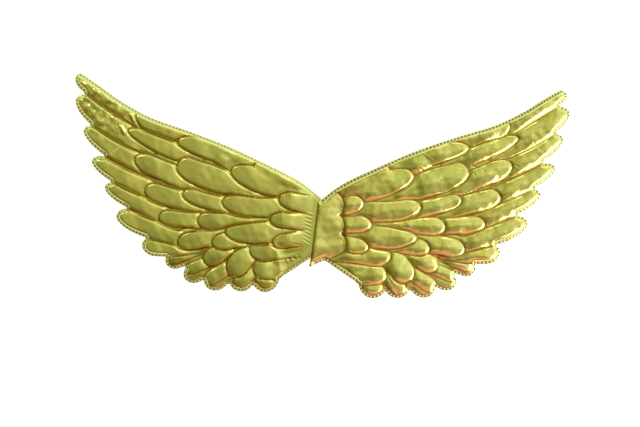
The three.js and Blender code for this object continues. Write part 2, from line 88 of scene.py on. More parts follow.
# %% Pattern of the feathers, in millimetres
# root x and y, tip x and y, half width, bow, tip length above and below
FEATHERS = {
    "panel_upper": (-16, -9, 25.5, 0, 14, 0, 11.5, 11.5),
    "panel_middle": (-18.5, -31, 27, -24, 12.5, 0, 9, 9),
    "panel_lower": (-18.5, -63.5, 29, -41.5, 13, 0, 10.5, 10.5),
    "panel_back": (-20, -45, 14, -38, 16, 0, 12, 12),
    "inner_1": (-6, -10.5, 47.8, 0.2, 10.3, 0, 14, 17),
    "inner_2": (2.5, -26.5, 57.8, -24.2, 9.7, 0, 14, 16),
    "inner_3": (2.5, -42.5, 55, -51, 9.2, 0, 15, 16),
    "inner_4": (32.5, -9, 112.8, -3.8, 11.6, -3.5, 20, 28),
    "inner_5": (34.5, -33.5, 109.4, -38.3, 12.8, -3.2, 46, 34),
    "middle_1": (17.5, 4.5, 102.7, 33.1, 13.8, -1.5, 28, 37),
    "middle_1_shoulder": (8, 8, 76, 38, 13, 0, 12, 12),
    "middle_2": (86.5, 45, 164.2, 66.1, 11.3, 0, 24, 44),
    "middle_2_shoulder": (98.2, 40.1, 125, 55.2, 10, 0, 10, 10),
    "middle_3": (67, 10.5, 165.3, 36.5, 15.2, -1.2, 12, 42),
    "middle_4": (75, -10.5, 158.4, 5.3, 9.7, -2.5, 15, 30),
    "middle_5": (63.5, -17.5, 141.2, -26, 10.8, -1, 16, 16),
    "middle_6": (67, -42.5, 124.5, -51, 10, 0, 15, 15),
    "outer_9": (9, -53, 81.2, -60.3, 13, 0, 13, 16),
    "outer_8": (75, -51, 104, -88, 13, 0, 15, 15),
    "outer_7": (85.5, -47.5, 134, -72.5, 10.5, 0, 11.5, 11.5),
    "outer_1": (138.5, 70.5, 211.7, 97.9, 13.4, -0.3, 18, 18),
    "outer_2": (144, 47.5, 220.9, 79.2, 10.6, -2, 40, 60),
    "outer_3": (138.5, 15, 213.4, 47, 11.8, -0.5, 22, 23),
    "outer_4": (121, -6, 202.2, 9.5, 12, -1.8, 14, 34),
    "outer_5": (106, -23, 186, -21.5, 10.4, -1.2, 17, 26),
    "outer_6": (101.5, -40.5, 164, -51, 11, 0, 16, 16),
    "outer_10": (52, -81.5, 77.5, -79.5, 12, 0, 10, 12),
    "outer_10_root": (20, -60, 58, -74, 11, 0, 10, 10),
    "outer_10_edge": (8, -61, 47, -86.5, 4.5, 0, 8, 8),
    "long_1": (201, 86.5, 281, 142.5, 10.5, 0, 16, 16),
    "long_2": (196, 62.5, 281, 116.5, 13, -4.3, 14, 32),
    "long_3": (187, 33.5, 272.3, 80.5, 11.2, -4, 12, 39),
    "long_4": (179, 4.5, 263, 44.8, 10.4, -2.3, 12, 35),
    "long_5": (161.5, -25.5, 248, 14.5, 10.2, -1.2, 12, 32),
    "long_6": (132.5, -47.5, 235, -19, 12, -3.5, 12, 35),
    "long_7": (138.5, -50.5, 205.5, -53.5, 11, -3.5, 14, 14),
    "pad_8": (131.5, -54.5, 175, -71.5, 7, 0, 9, 9),
    "pad_9": (98, -58.5, 155.5, -83.5, 7, 0, 10, 10),
    "pad_10": (90, -68, 132.5, -95.8, 8.5, 0, 8, 8),
    "pad_11": (72, -77.5, 98, -101, 7.8, 0, 8, 8),
    "pad_12": (61, -85, 65, -103.5, 11.5, 0, 11, 11),
    "border_8": (131.5, -55.5, 178, -74, 10.5, -1, 11.5, 11.5),
    "border_9": (101.5, -61, 156.5, -91.5, 11.5, -1, 14, 14),
    "border_10": (86.5, -62.5, 131, -101.5, 14, 0, 16, 16),
    "border_11": (74, -61, 98, -105, 15, 0, 15, 15),
    "border_12": (60, -64.5, 65, -107.5, 16.5, 0, 18.5, 18.5),
    "web_upper": (5, -5, 215, 80, 25, 0, 20, 20),
    "web_middle": (60, -20, 215, 32, 18, 0, 20, 20),
    "web_tip_1": (190, 72, 266, 119, 8, 0, 10, 10),
    "web_tip_2": (185, 45, 258, 83, 8, 0, 10, 10),
}
ROWS = np.array(list(FEATHERS.values()), dtype=float)
NAMES = list(FEATHERS)
# the rows of a family are one pad, and so are a feather and its shoulder
FAMILIES = ("panel", "border", "web")
KINDS = ["_".join(name.split("_")[:1 if name.startswith(FAMILIES) else 2]) for name in NAMES]
GROUPS = [[i for i, kind in enumerate(KINDS) if kind == wanted] for wanted in dict.fromkeys(KINDS)]
SCALLOPS, BORDER = GROUPS[0], GROUPS[-2]  # the root panel, and the border of the lowest feathers
LOW_PADS = [i for i, kind in enumerate(KINDS) if kind.startswith("pad")]
PLAIN_ROOTS = [i for i, name in enumerate(NAMES) if name.endswith(("_root", "_edge"))]
LEADING_EDGE = np.array([
    (-12, -8), (0, 2.5), (23, 20.5), (57, 38), (104, 60), (150, 78),
    (196, 94.5), (231, 114), (254, 130.5), (279, 147.5), (296, 159),
])
ROOT_CUT = ((-3.5, 2.0), (-9.5, -71.0))  # the straight root edge, top and foot
FOLD = ((2.0, 0.0), (11.5, -70.0))  # where the right panel's folded edge crosses the left wing
print("rows in the pattern", len(ROWS), "pads", len(GROUPS))

# %% [markdown]
# A distance tells all about a feather: how far a point lies inside its edge. Bezier outlines and
# boolean cuts could give the same plan, but a distance also gives the pad's slope, the groove's
# line and the hem's width, for a whole grid of points at once.

# %% Distances to the edges
TINY = 1e-9
FAR = 1e3


def feather_axes(row, x, y):
    """A point's distance along a feather's chord and across from its bowed centre line, a parabola."""
    root_x, root_y, tip_x, tip_y, _, bow, _, _ = np.moveaxis(row, -1, 0)
    length = np.hypot(tip_x - root_x, tip_y - root_y)
    cos, sin = (tip_x - root_x) / length, (tip_y - root_y) / length
    a = (x - root_x) * cos + (y - root_y) * sin
    u = np.clip(a / length, 0, 1)
    b = (y - root_y) * cos - (x - root_x) * sin - 4 * bow * u * (1 - u)
    return a, b, length


def feather_depth(row, x, y):
    """Distance inside a feather's edge, negative outside.

    Along the bowed centre line the section is a strip, past it an ellipse at the tip and a circle
    at the root. Reach is 1 on that edge, and (1 - reach) over its slope is the distance.
    """
    a, b, length = feather_axes(row, x, y)
    half, _, above, below = np.moveaxis(row, -1, 0)[4:]
    tip_length = np.where(b > 0, above, below)
    tip = np.maximum(a - length + tip_length, 0) / tip_length
    root = np.maximum(-a, 0) / half
    side = b / half
    reach = np.sqrt(tip**2 + root**2 + side**2) + TINY
    slope = np.sqrt((tip / tip_length) ** 2 + (root / half) ** 2 + (side / half) ** 2)
    return (1 - reach) * reach / (slope + TINY / half)


def cut_depth(cut, x, y):
    """Distance to the outer side of a straight cut: the cross product with its unit direction."""
    (top_x, top_y), (foot_x, foot_y) = cut
    dx, dy = foot_x - top_x, foot_y - top_y
    return ((y - top_y) * dx - (x - top_x) * dy) / np.hypot(dx, dy)


def leading_curve(count):
    """Points of the leading edge: a cubic through the pattern's points, each with the slope of its
    neighbours' chord."""
    p = np.vstack([LEADING_EDGE[:1], LEADING_EDGE, LEADING_EDGE[-1:]])
    t = np.linspace(0, len(LEADING_EDGE) - 1, count)
    i = np.minimum(t.astype(int), len(LEADING_EDGE) - 2)
    u = (t - i)[:, None]
    start, end = (p[i + 2] - p[i]) / 2, (p[i + 3] - p[i + 1]) / 2
    gap = p[i + 2] - p[i + 1]
    return p[i + 1] + start * u + (3 * gap - 2 * start - end) * u**2 + (start + end - 2 * gap) * u**3


LEAD_POINTS = 400
LEAD = leading_curve(LEAD_POINTS)


def feathers_depth(x, y):
    """Distance inside the union of all feathers: the greatest of their own distances."""
    return np.max([feather_depth(row, x, y) for row in ROWS], axis=0)


def panel_depth(x, y):
    """Distance inside the whole panel: in some feather, under the leading edge, beside the root cut.

    The leading edge's slope comes from its heights a millimetre to either side.
    """
    height = np.interp(x, *LEAD.T)
    slope = (np.interp(x + 1, *LEAD.T) - np.interp(x - 1, *LEAD.T)) / 2
    under_lead = (height - y) / np.hypot(1, slope)
    return np.minimum(np.minimum(feathers_depth(x, y), under_lead), cut_depth(ROOT_CUT, x, y))


def smooth(value, low, high):
    """0 below low, 1 above high and a cubic S between them."""
    u = np.clip((value - low) / (high - low), 0, 1)
    return u * u * (3 - 2 * u)


print("length of the leading edge in mm", round(float(np.hypot(*np.diff(LEAD, axis=0).T).sum()), 1))

# %% [markdown]
# The panel is worked out on a square grid. Each grid point needs to know the feather that shows
# there, how deep it lies in it, and how far it is from the feathers that lie on top.

# %% Grid of the pattern and its layers
STEP = 0.65
MARGIN = 6.0
FOOT = -130.0  # lower than the lowest feather
x_axis = np.arange(ROOT_CUT[1][0] - MARGIN, LEAD[-1, 0] + MARGIN, STEP)
y_axis = np.arange(FOOT, LEAD[-1, 1] + MARGIN, STEP)
GX, GY = np.meshgrid(x_axis, y_axis)


def layers(groups, x, y):
    """Goes down the layers once. The first feather that covers a point is its own, and the nearest
    edge of those above it is the one that it lies beside. The sum of its two nearest edges tells how
    wide the strip is that shows there."""
    own = np.full(x.shape, -1)
    own_depth = np.zeros(x.shape)
    beside, beyond = np.full(x.shape, FAR), np.full(x.shape, FAR)
    beside_row = np.zeros(x.shape, dtype=int)
    for group in groups:
        depths = np.array([feather_depth(ROWS[i], x, y) for i in group])
        rows = np.array(group)[depths.argmax(axis=0)]
        depth = depths.max(axis=0)
        free = own < 0
        above = free & (depth < 0)
        near = above & (-depth < beside)
        beyond = np.where(near, beside, np.where(above, np.minimum(beyond, -depth), beyond))
        beside = np.where(near, -depth, beside)
        beside_row = np.where(near, rows, beside_row)
        covered = free & (depth >= 0)
        own_depth = np.where(covered, depth, own_depth)
        own = np.where(covered, rows, own)
    strip = np.minimum(own_depth, beyond) + beside
    return own, own_depth, beside, beside_row, strip


def spread(mask, radius):
    """The mask widened by a disc: every shift within the radius, joined."""
    reach = int(radius)
    wide = mask.copy()
    for dy in range(-reach, reach + 1):
        for dx in range(-reach, reach + 1):
            if dx * dx + dy * dy <= radius * radius:
                wide |= np.roll(mask, (dy, dx), axis=(0, 1))
    return wide


EDGE = panel_depth(GX, GY)
SLACK = 0.35 * STEP  # points this little outside still belong to the panel
SLIVER = 1.5  # in steps: gaps between feathers narrower than about twice this are closed
outside = ~spread(EDGE > -SLACK, SLIVER)
OUTSIDE = spread(outside, SLIVER) & (EDGE <= -SLACK)
print("grid", GX.shape, "points on the panel", int((~OUTSIDE).sum()))

# %% [markdown]
# The foil is a tight skin on springy foam, held down by the grooves and the hem. Distance-based
# pads would meet in hard ridges. A skin that is pulled flat by its tension and pushed up by the foam
# has no such ridges: its height obeys a spring equation, solved here by averaging neighbours until it
# settles. That is the cloth simulation of this piece, kept to one height for each grid point, because
# a remeshed cloth would lose the narrow grooves.

# %% Pressing tools
ROUNDS = 500


def settle(target, width, held, held_at, start):
    """Height of a skin on foam: the mean of its four neighbours, pulled to the foam's height by
    (step / width) squared and to the pressed lines by how firmly they are held."""
    spring = (STEP / width) ** 2
    total = (4 + spring + held)[1:-1, 1:-1]
    pull = (spring * target + held * held_at)[1:-1, 1:-1]
    height = start.copy()
    for _ in range(ROUNDS):
        around = height[:-2, 1:-1] + height[2:, 1:-1] + height[1:-1, :-2] + height[1:-1, 2:]
        height[1:-1, 1:-1] = (around + pull) / total
    return height


def blurred(field, rounds):
    """A field without its steps: each point averaged with its four neighbours, many times over."""
    field = field.copy()
    for _ in range(rounds):
        around = field[:-2, 1:-1] + field[2:, 1:-1] + field[1:-1, :-2] + field[1:-1, 2:]
        field[1:-1, 1:-1] = (field[1:-1, 1:-1] + around) / 5
    return field


def ripples(x, y, length, count, seed):
    """Gentle unevenness: the mean of plane waves with random directions, phases and lengths, which are
    0.7 to 1.4 times the given one."""
    rng = np.random.default_rng(seed)
    turn = rng.uniform(0, np.pi, count)
    wave = 2 * np.pi / (length * rng.uniform(0.7, 1.4, count))
    phase = rng.uniform(0, 2 * np.pi, count)
    waves = [np.cos(k * (x * np.cos(t) + y * np.sin(t)) + p) for t, k, p in zip(turn, wave, phase)]
    return np.sum(waves, axis=0) / np.sqrt(count / 2)


print("the skin's tension reaches about mm", round(STEP * ROUNDS**0.5, 1))

# %% [markdown]
# The left root is gathered where the right panel pulls on it, and some feathers are creased. These
# are short ridges and valleys laid over the pressed pads. Simulated cloth would fold where it likes,
# and here each fold has its own place.

# %% Gathers and creases
GATHERS = {"count": 9, "top": -19, "pitch": 4.6, "top_slope": 0.3, "foot_slope": 0.75, "height": 0.18}
GATHER_ENDS = (2.5, 5.5, 8.0, 13.0)  # distances from the fold: start, full, fading, end
# from x and y, to x and y, width, depth, which is negative for a ridge
CREASES = {
    "left_wing": [
        (230.8, 61.2, 242.3, 50.8, 1.3, 0.35),
        (217.5, 97.0, 214.5, 90.0, 3.0, -0.8),
        (228.5, 83.0, 225.0, 76.0, 3.6, -1.0),
        (267.5, 120.5, 270.0, 117.5, 3.0, -0.8),
        (258.0, 124.5, 255.0, 122.5, 2.6, -0.6),
        (41.5, 5.0, 41.5, -11.0, 1.3, -0.12),
        (32.9, 5.0, 32.9, -11.0, 1.3, -0.1),
        (43.3, -16.0, 43.3, -33.0, 1.3, -0.15),
        (38.0, -41.5, 38.0, -47.5, 1.3, -0.12),
        (39.0, -69.0, 34.0, -81.0, 2.2, -0.4),
        (33.5, -67.5, 28.0, -78.0, 2.1, -0.4),
        (28.0, -66.0, 22.5, -75.0, 1.9, -0.35),
    ],
    "right_wing": [
        (72.3, -73.2, 91.7, -102.2, 2.4, 0.6),
        (206.4, 100.4, 213.0, 92.0, 1.4, -0.3),
        (168.9, 44.5, 182.7, 39.0, 1.6, 0.5),
        (237.9, 73.3, 246.0, 65.0, 1.4, 0.3),
        (113.0, 58.3, 128.0, 47.0, 1.6, -0.25),
        (188.5, 51.5, 192.0, 54.5, 2.2, -0.3),
    ],
}
# centre, direction of the middle fold in degrees, reach and height
FANS = {
    "left_wing": [],
    "right_wing": [
        (166.0, 43.0, -42, 15.0, 0.22),
        (104.5, 45.0, -25, 14.0, 0.22),
        (213.0, 50.0, -20, 12.0, 0.18),
        (159.0, 8.0, 10, 12.0, 0.16),
        (48.0, 2.0, 10, 10.0, 0.14),
        (58.0, -23.0, 0, 10.0, 0.14),
    ],
}
# wave length in mm and height of the foil's unevenness, from soft to fine
CRUMPLE = {
    "left_wing": ((34, 0.18), (11, 0.04), (5, 0.006)),
    "right_wing": ((30, 0.3), (11, 0.1), (5.0, 0.035)),
}
CRUMPLED_TIPS = ((205.0, 245.0), (60.0, 95.0))  # the left wing is crumpled past these x and y
TIP_CRUMPLE = ((11, 0.28), (5, 0.07))
WAVES, TIP_SEED = 24, 40
FAN_HALF, FAN_FOLDS, FAN_SIDE = 45, 3, 0.6  # half opening in degrees, folds, and a fade from this share on
FAN_RISE, FAN_FADE = 0.35, 0.5  # it rises up to the first share of its reach and fades from the second


def gathers(x, y):
    """A cosine across a fan of ridges that starts at the fold, faded at its ends, and over half a ridge
    at its sides."""
    from_fold = cut_depth(FOLD, x, y)
    span = GATHERS["pitch"] * (GATHERS["count"] - 1)
    down = np.clip((GATHERS["top"] - y) / span, 0, 1)
    slope = GATHERS["top_slope"] + (GATHERS["foot_slope"] - GATHERS["top_slope"]) * down
    turn = (GATHERS["top"] + slope * from_fold - y) / GATHERS["pitch"]
    sides = smooth(turn, -0.5, 0) * smooth(GATHERS["count"] - 0.5 - turn, 0, 0.5)
    near, full, fading, end = GATHER_ENDS
    ends = smooth(from_fold, near, full) * (1 - smooth(from_fold, fading, end))
    return GATHERS["height"] * np.cos(2 * np.pi * turn) * sides * ends


def creases(name, x, y):
    """Depth of the valleys: a smooth bell across the distance to each crease's line."""
    depth = np.zeros(x.shape)
    for from_x, from_y, to_x, to_y, width, deep in CREASES[name]:
        dx, dy = to_x - from_x, to_y - from_y
        along = np.clip(((x - from_x) * dx + (y - from_y) * dy) / (dx * dx + dy * dy), 0, 1)
        away = np.hypot(x - from_x - along * dx, y - from_y - along * dy)
        depth += deep * (1 - smooth(away, 0, width))
    return depth


def fans(name, x, y):
    """Fine folds that radiate from a feather's tip: a cosine of the angle, rising and fading with the
    distance from the tip and fading to the sides of the fan."""
    height = np.zeros(x.shape)
    for at_x, at_y, middle, reach, high in FANS[name]:
        away = np.hypot(x - at_x, y - at_y)
        angle = np.degrees(np.arctan2(y - at_y, x - at_x)) - middle
        share = (1 - smooth(np.abs(angle), FAN_SIDE * FAN_HALF, FAN_HALF)) * smooth(away, 0, FAN_RISE * reach)
        folds = high * np.cos(np.pi * FAN_FOLDS * angle / FAN_HALF)
        height += folds * share * (1 - smooth(away, FAN_FADE * reach, reach))
    return height


def uneven(waves, seed, x, y):
    """Ripples of several lengths, each times its height, added up."""
    return sum(high * ripples(x, y, length, WAVES, seed + i) for i, (length, high) in enumerate(waves))


def crumple(name, x, y):
    """The foil's unevenness: ripples all over, and more of them at the left wing's tips."""
    height = uneven(CRUMPLE[name], len(name), x, y)
    if name == "left_wing":
        (low_x, high_x), (low_y, high_y) = CRUMPLED_TIPS
        tips = smooth(x, low_x, high_x) * smooth(y, low_y, high_y)
        height = height + uneven(TIP_CRUMPLE, TIP_SEED, x, y) * tips
    return height


print("gathers", GATHERS["count"], "creases", {name: len(rows) for name, rows in CREASES.items()})

# %% [markdown]
# The two panels lie a little differently: the right one was sewn on lower and turned, it is slightly
# stretched, and its tip is pulled in and down. Its root is raised by what lies under it.

# %% Where the panels lie
# side of the middle, stretch, turn in degrees, lean for each mm of y, shift and the tip's pull in mm
WINGS = {
    "left_wing": {
        "side": -1, "stretch": 1.0, "turn": 0.0, "lean": 0.0, "shift": (0.0, 0.0), "tip": (0.0, 0.0),
    },
    "right_wing": {
        "side": 1, "stretch": 1.02, "turn": -1.2, "lean": 0.025, "shift": (1.2, -3.5), "tip": (11.0, 12.5),
    },
}
PULL_FROM, PULL_SPAN, PULL_POWER = 30.0, 112.0, 2.2  # the pull starts at this y and is full a span on
LAP_RISE = 2.2  # the right panel's back stands this high at the middle


def laid(name, x, y):
    """A pattern point where it lies: stretched, leaned and pulled at the tip by a power of y, then
    turned, shifted and mirrored to its side."""
    wing = WINGS[name]
    pull = (np.maximum(y - PULL_FROM, 0) / PULL_SPAN) ** PULL_POWER
    px = wing["stretch"] * x + wing["lean"] * y - wing["tip"][0] * pull
    py = wing["stretch"] * y - wing["tip"][1] * pull
    cos, sin = np.cos(np.radians(wing["turn"])), np.sin(np.radians(wing["turn"]))
    return wing["side"] * (px * cos - py * sin + wing["shift"][0]), px * sin + py * cos + wing["shift"][1]


def back_height(name, x):
    """The right panel's back is a plane that slopes from the lap down to the far end of its CAD box."""
    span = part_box("right_wing")[1].x / MM
    return LAP_RISE * (1 - np.abs(x) / span) if name == "right_wing" else np.zeros(np.shape(x))


for name in WINGS:
    print(name, "pattern's tip lies at mm", np.round(laid(name, *LEAD[-1]), 1))

# %% [markdown]
# A feather's foam is moulded: it rises from the root, droops at the tip, arches across and dips
# where another feather lies on it. The left wing is flatter than the right one. Its root has no
# foam at the foot and is pressed flat under the lap.

# %% Foam below the foil
CROWN, ROOT_CROWN = 7.2, 5.2  # heights of a feather's tip and root
DROOP_FROM, DROOP = 0.5, 1.6  # from this share of its length a feather bends down, by this much at the tip
DIP_RUN = 6.0  # a feather dips towards one that lies on it, over this distance
PANEL_CROWN, PANEL_FALL = 6.8, 0.12  # height of the root panel at its fold, and its fall for each mm
PANEL_FOOT, PANEL_BEND = (-68.0, -50.0), 2.4  # it bends down between these y, by this much
BORDER_CROWN, PAD_FALL = 3.0, 1.2  # height of the lowest feathers' border, and the fall of their pads
GROOVE, HEM, RIM = 4.0, 1.6, 1.1  # heights of a groove, the stitched edge and its rolled rim
HEM_WIDTH = 3.4
SOFT, EVEN = 12, 60  # rounds that blur over about 1.4 and 3 mm
LAP_SLOPE = (0.0, 34.0)  # the left root rises slowly from the fold
LAP_HEIGHT = 1.75
THIN_LINE = ((47.0, -56.0), (41.5, -88.0))  # on the fold's side of this line the left foot has no foam
THIN_EDGE, THIN_FROM = 3.0, (-60.0, -50.0)  # the foam ends over this distance, and between these y
THIN, ROOT_FALL = 3.4, 13.0  # height without foam, which falls to the hem over this distance
# how far the foil's slopes run on a feather's upper and lower side, and under another feather,
# then the dip towards that one and the arch across, all in mm
PADS = {
    "left_wing": {"slopes": (0.6, 0.6), "under": 0.55, "dip": 0.25, "arch": 0.25},
    "right_wing": {"slopes": (1.0, 1.1), "under": 0.85, "dip": 0.6, "arch": 1.9},
}
TIP_SLOPE, TIP_SHARE = 1.15, 0.7  # slopes run further in this share of a feather's rounded tip
SIDE_TURN = (-0.2, 0.6)  # from the upper to the lower slope between these shares of the half width


def foam_height(name, own, beside):
    """Height of the foam: each feather's crown less its droop, arch and dip, which go with the squares of
    the way to the tip and side and with an exponential of the distance to the feather on top. The root
    panel, the plain root, the lowest feathers and the gaps have heights of their own."""
    rows = ROWS[np.maximum(own, 0)]
    along, across, length = feather_axes(rows, GX, GY)
    crown = ROOT_CROWN + (CROWN - ROOT_CROWN) * smooth(along / length, 0.0, DROOP_FROM)
    crown -= DROOP * np.clip(along / length - DROOP_FROM, 0, 1) ** 2 / (1 - DROOP_FROM) ** 2
    crown -= PADS[name]["arch"] * np.clip(across / rows[..., 4], -1, 1) ** 2
    crown -= PADS[name]["dip"] * np.exp(-beside / DIP_RUN)
    panel = PANEL_CROWN - PANEL_FALL * cut_depth(ROOT_CUT, GX, GY)
    panel -= PANEL_BEND * (1 - smooth(GY, *PANEL_FOOT))
    crown = np.where(np.isin(own, PLAIN_ROOTS), ROOT_CROWN, crown)
    crown = np.where(np.isin(own, SCALLOPS), panel, crown - PAD_FALL * np.isin(own, LOW_PADS))
    crown = np.where(np.isin(own, BORDER), BORDER_CROWN, crown)
    return blurred(np.where(own < 0, GROOVE, crown), SOFT) + crumple(name, GX, GY)


def thinned_root(foam):
    """The left root's foam: its foot has none and falls to the hem, and the lap presses the rest flat."""
    padded = smooth(cut_depth(THIN_LINE, GX, GY), -THIN_EDGE, THIN_EDGE)
    padded = np.maximum(padded, smooth(GY, *THIN_FROM))
    unpadded = HEM + (THIN - HEM) * smooth(EDGE, HEM_WIDTH, ROOT_FALL)
    foam = unpadded + (foam - unpadded) * padded
    return LAP_HEIGHT + (foam - LAP_HEIGHT) * smooth(cut_depth(FOLD, GX, GY), *LAP_SLOPE)


def slope_width(name, own, own_depth, beside):
    """Distance over which the foil rises from a groove: blended from a feather's upper side to its lower
    one, longer at its tip, and another value beside a feather that lies on top."""
    rows = ROWS[np.maximum(own, 0)]
    along, across, length = feather_axes(rows, GX, GY)
    half, _, above, below = np.moveaxis(rows, -1, 0)[4:]
    tip = np.maximum(above, below)
    tipness = smooth(along - length + tip, 0, TIP_SHARE * tip)
    upper, lower = PADS[name]["slopes"]
    slope = upper + (lower - upper) * smooth(-across / half, *SIDE_TURN)
    return np.where(own_depth < beside, slope * (1 + (TIP_SLOPE - 1) * tipness), PADS[name]["under"])


print("blurs over mm", [round(STEP * (2 * rounds / 5) ** 0.5, 1) for rounds in (SOFT, EVEN)])

# %% [markdown]
# The press then comes down on the grooves and the hem, and the foil settles between them. Carving
# grooves into finished pads would leave their slopes as they were. Here the skin finds its slopes
# from what holds it, so a narrow strip stays low and a wide feather swells.

# %% Height of one wing over its pattern
LEAST_PRESS, PANEL_PRESS = 0.8, 1.6  # depth of a groove below the foam, and what the root panel adds
NARROW = (2.5, 7.0)  # strips as narrow as the first have no foam, from the second on they are full
GROOVE_SLOPE = 1.1  # rise of the foil right at a groove
HELD = 1e3  # stiffness of a pressed line against the skin's own
PRESSED, LEAST_GROOVED = 0.75 * STEP, 0.01  # the press holds points this near to a line, where it has any
PLAIN_ROOT = (8.0, 18.0)  # distances from the fold between which the left root's grooves fade in
FOLD_EDGE, FOLD_RUN = 1.3, 3.9  # the right panel's folded edge rises over the first of these distances
FOLD_LINE = (0.7, 1.7)  # and carries a painted shadow, a brownish line, up to the first of these, fading to the second
SHADE_WIDTH = 0.8  # distance from a groove's line over which the foil carries painted shade
SHADE_STRIP = (1.5, 4.0)  # strips as narrow as the first, which lie low between pads, carry painted shade all over
HEM_FADE = 2.0  # folds begin over this distance inside the hem


def wing_relief(name):
    """Thickness of a wing on the grid, with what each point needs later: the nearest groove's row, its
    distance, strength and bottom, whether it is on the hem, and how much painted shade it gets."""
    right = name == "right_wing"
    groups = GROUPS if right else GROUPS[1:] + [SCALLOPS]
    own, own_depth, beside, beside_row, strip = layers(groups, GX, GY)
    row = np.where(own_depth < beside, own, beside_row)
    groove = np.minimum(own_depth, beside)
    thin = 1 - smooth(strip, *NARROW)
    grooved = np.ones(GX.shape) if right else smooth(cut_depth(FOLD, GX, GY), *PLAIN_ROOT)
    foam = foam_height(name, own, beside)
    width = slope_width(name, own, own_depth, beside)
    hem = (EDGE < HEM_WIDTH) & spread(OUTSIDE, HEM_WIDTH / STEP + 1)
    from_root = cut_depth(ROOT_CUT, GX, GY)
    if right:
        hem &= from_root > HEM_WIDTH
        width = np.where(from_root < FOLD_RUN, FOLD_EDGE, width)
    else:
        foam = thinned_root(foam)

    press = LEAST_PRESS + PANEL_PRESS * blurred(right * np.isin(own, SCALLOPS).astype(float), EVEN)
    pressed_to = np.clip(blurred(foam, EVEN) - press, RIM, GROOVE)
    foam = np.maximum(foam, pressed_to + LEAST_PRESS)
    bottom = foam + (pressed_to - foam) * grooved
    foam = foam + (bottom - foam) * thin
    pressed = ~hem & (groove < PRESSED) & (grooved > LEAST_GROOVED)
    held = np.where(hem | OUTSIDE | pressed, HELD, 0)
    held_at = np.where(hem | OUTSIDE, HEM, bottom + GROOVE_SLOPE * groove * (1 - thin) * grooved)
    start = bottom + (foam - bottom) * (1 - np.exp(-groove / width))
    height = settle(foam, width, held, held_at, start)
    folds = fans(name, GX, GY) - creases(name, GX, GY)
    height += folds * smooth(EDGE, HEM_WIDTH, HEM_WIDTH + HEM_FADE)
    if not right:
        height += gathers(GX, GY) * smooth(EDGE, 1, HEM_WIDTH)

    # painted shade: near a groove's line and over narrow low strips the foil turns a brownish gold, where
    # shade falls
    groove_shade = np.maximum(np.exp(-(groove / SHADE_WIDTH) ** 2), 1 - smooth(strip, *SHADE_STRIP))
    groove_shade = groove_shade * grooved * ~hem
    # painted shadow along the right panel's fold line
    if right:
        groove_shade = np.maximum(groove_shade, 1 - smooth(from_root, *FOLD_LINE))
    return {
        "height": np.maximum(height, RIM), "row": row, "groove": groove, "grooved": grooved,
        "bottom": bottom, "hem": hem, "groove_shade": groove_shade,
    }


reliefs = {name: wing_relief(name) for name in WINGS}
for name, relief in reliefs.items():
    on_panel = relief["height"][~OUTSIDE]
    print(name, "height in mm", round(float(on_panel.min()), 2), round(float(on_panel.max()), 2))

# %% [markdown]
# The grid becomes a mesh: its cells are the faces. Points on the border move onto the true outline,
# and points beside a groove move onto the groove's line, so that both are smooth lines and not
# stairs. A wall and a flat back close the panel.

# %% Meshing a wing
ON_LINE, GROOVED = 0.5 * STEP, 0.5  # points this near to a line move onto it, where it is this strong
ON_RIM = 1.2 * STEP  # points of the border move onto the outline from no further than this
PROBE = 0.05
BACK_EVERY, BACK_INSIDE = 16, 5.0  # the back has a point at every 16th step, this many mm inside
FENCED, SAME_POINT = 1, 1e-6  # the triangulation fills its fence, and joins points this close


def onto(distance, x, y, limit):
    """Points moved onto the zero of a distance: three Newton steps along its gradient, kept short."""
    new_x, new_y = x.copy(), y.copy()
    for _ in range(3):
        value = distance(new_x, new_y)
        slope_x = (distance(new_x + PROBE, new_y) - distance(new_x - PROBE, new_y)) / (2 * PROBE)
        slope_y = (distance(new_x, new_y + PROBE) - distance(new_x, new_y - PROBE)) / (2 * PROBE)
        scale = value / (slope_x**2 + slope_y**2 + TINY)
        new_x, new_y = new_x - scale * slope_x, new_y - scale * slope_y
    far = np.hypot(new_x - x, new_y - y) > limit
    return np.where(far, x, new_x), np.where(far, y, new_y)


def grid_faces():
    """Four-sided faces of the grid cells whose corners all lie on the panel."""
    kept = ~OUTSIDE
    cells = kept[:-1, :-1] & kept[:-1, 1:] & kept[1:, :-1] & kept[1:, 1:]
    ids = np.arange(GX.size).reshape(GX.shape)
    corners = (ids[:-1, :-1], ids[:-1, 1:], ids[1:, 1:], ids[1:, :-1])
    return np.stack([corner[cells] for corner in corners], axis=1)


def open_sides(quads):
    """The border: sides that only one face has, in that face's order."""
    sides = np.stack([quads, np.roll(quads, -1, axis=1)], axis=2).reshape(-1, 2)
    _, first, count = np.unique(np.sort(sides, axis=1), axis=0, return_index=True, return_counts=True)
    return sides[first[count == 1]]


def snapped(name, rim):
    """The pattern's x, y, height and painted groove shade at each grid point, after points beside a
    groove have moved onto its line and points of the rim onto the outline."""
    field = {key: values.ravel().copy() for key, values in reliefs[name].items()}
    x, y, height, groove_shade = GX.ravel().copy(), GY.ravel().copy(), field["height"], field["groove_shade"]
    line = np.flatnonzero((field["groove"] < ON_LINE) & ~field["hem"] & (field["grooved"] > GROOVED))
    rows = ROWS[field["row"][line]]
    x[line], y[line] = onto(lambda u, v: feather_depth(rows, u, v), x[line], y[line], STEP)
    height[line] = field["bottom"][line]
    groove_shade[line] = field["grooved"][line]
    x[rim], y[rim] = onto(panel_depth, x[rim], y[rim], ON_RIM)
    height[rim] = RIM
    return x, y, height, groove_shade


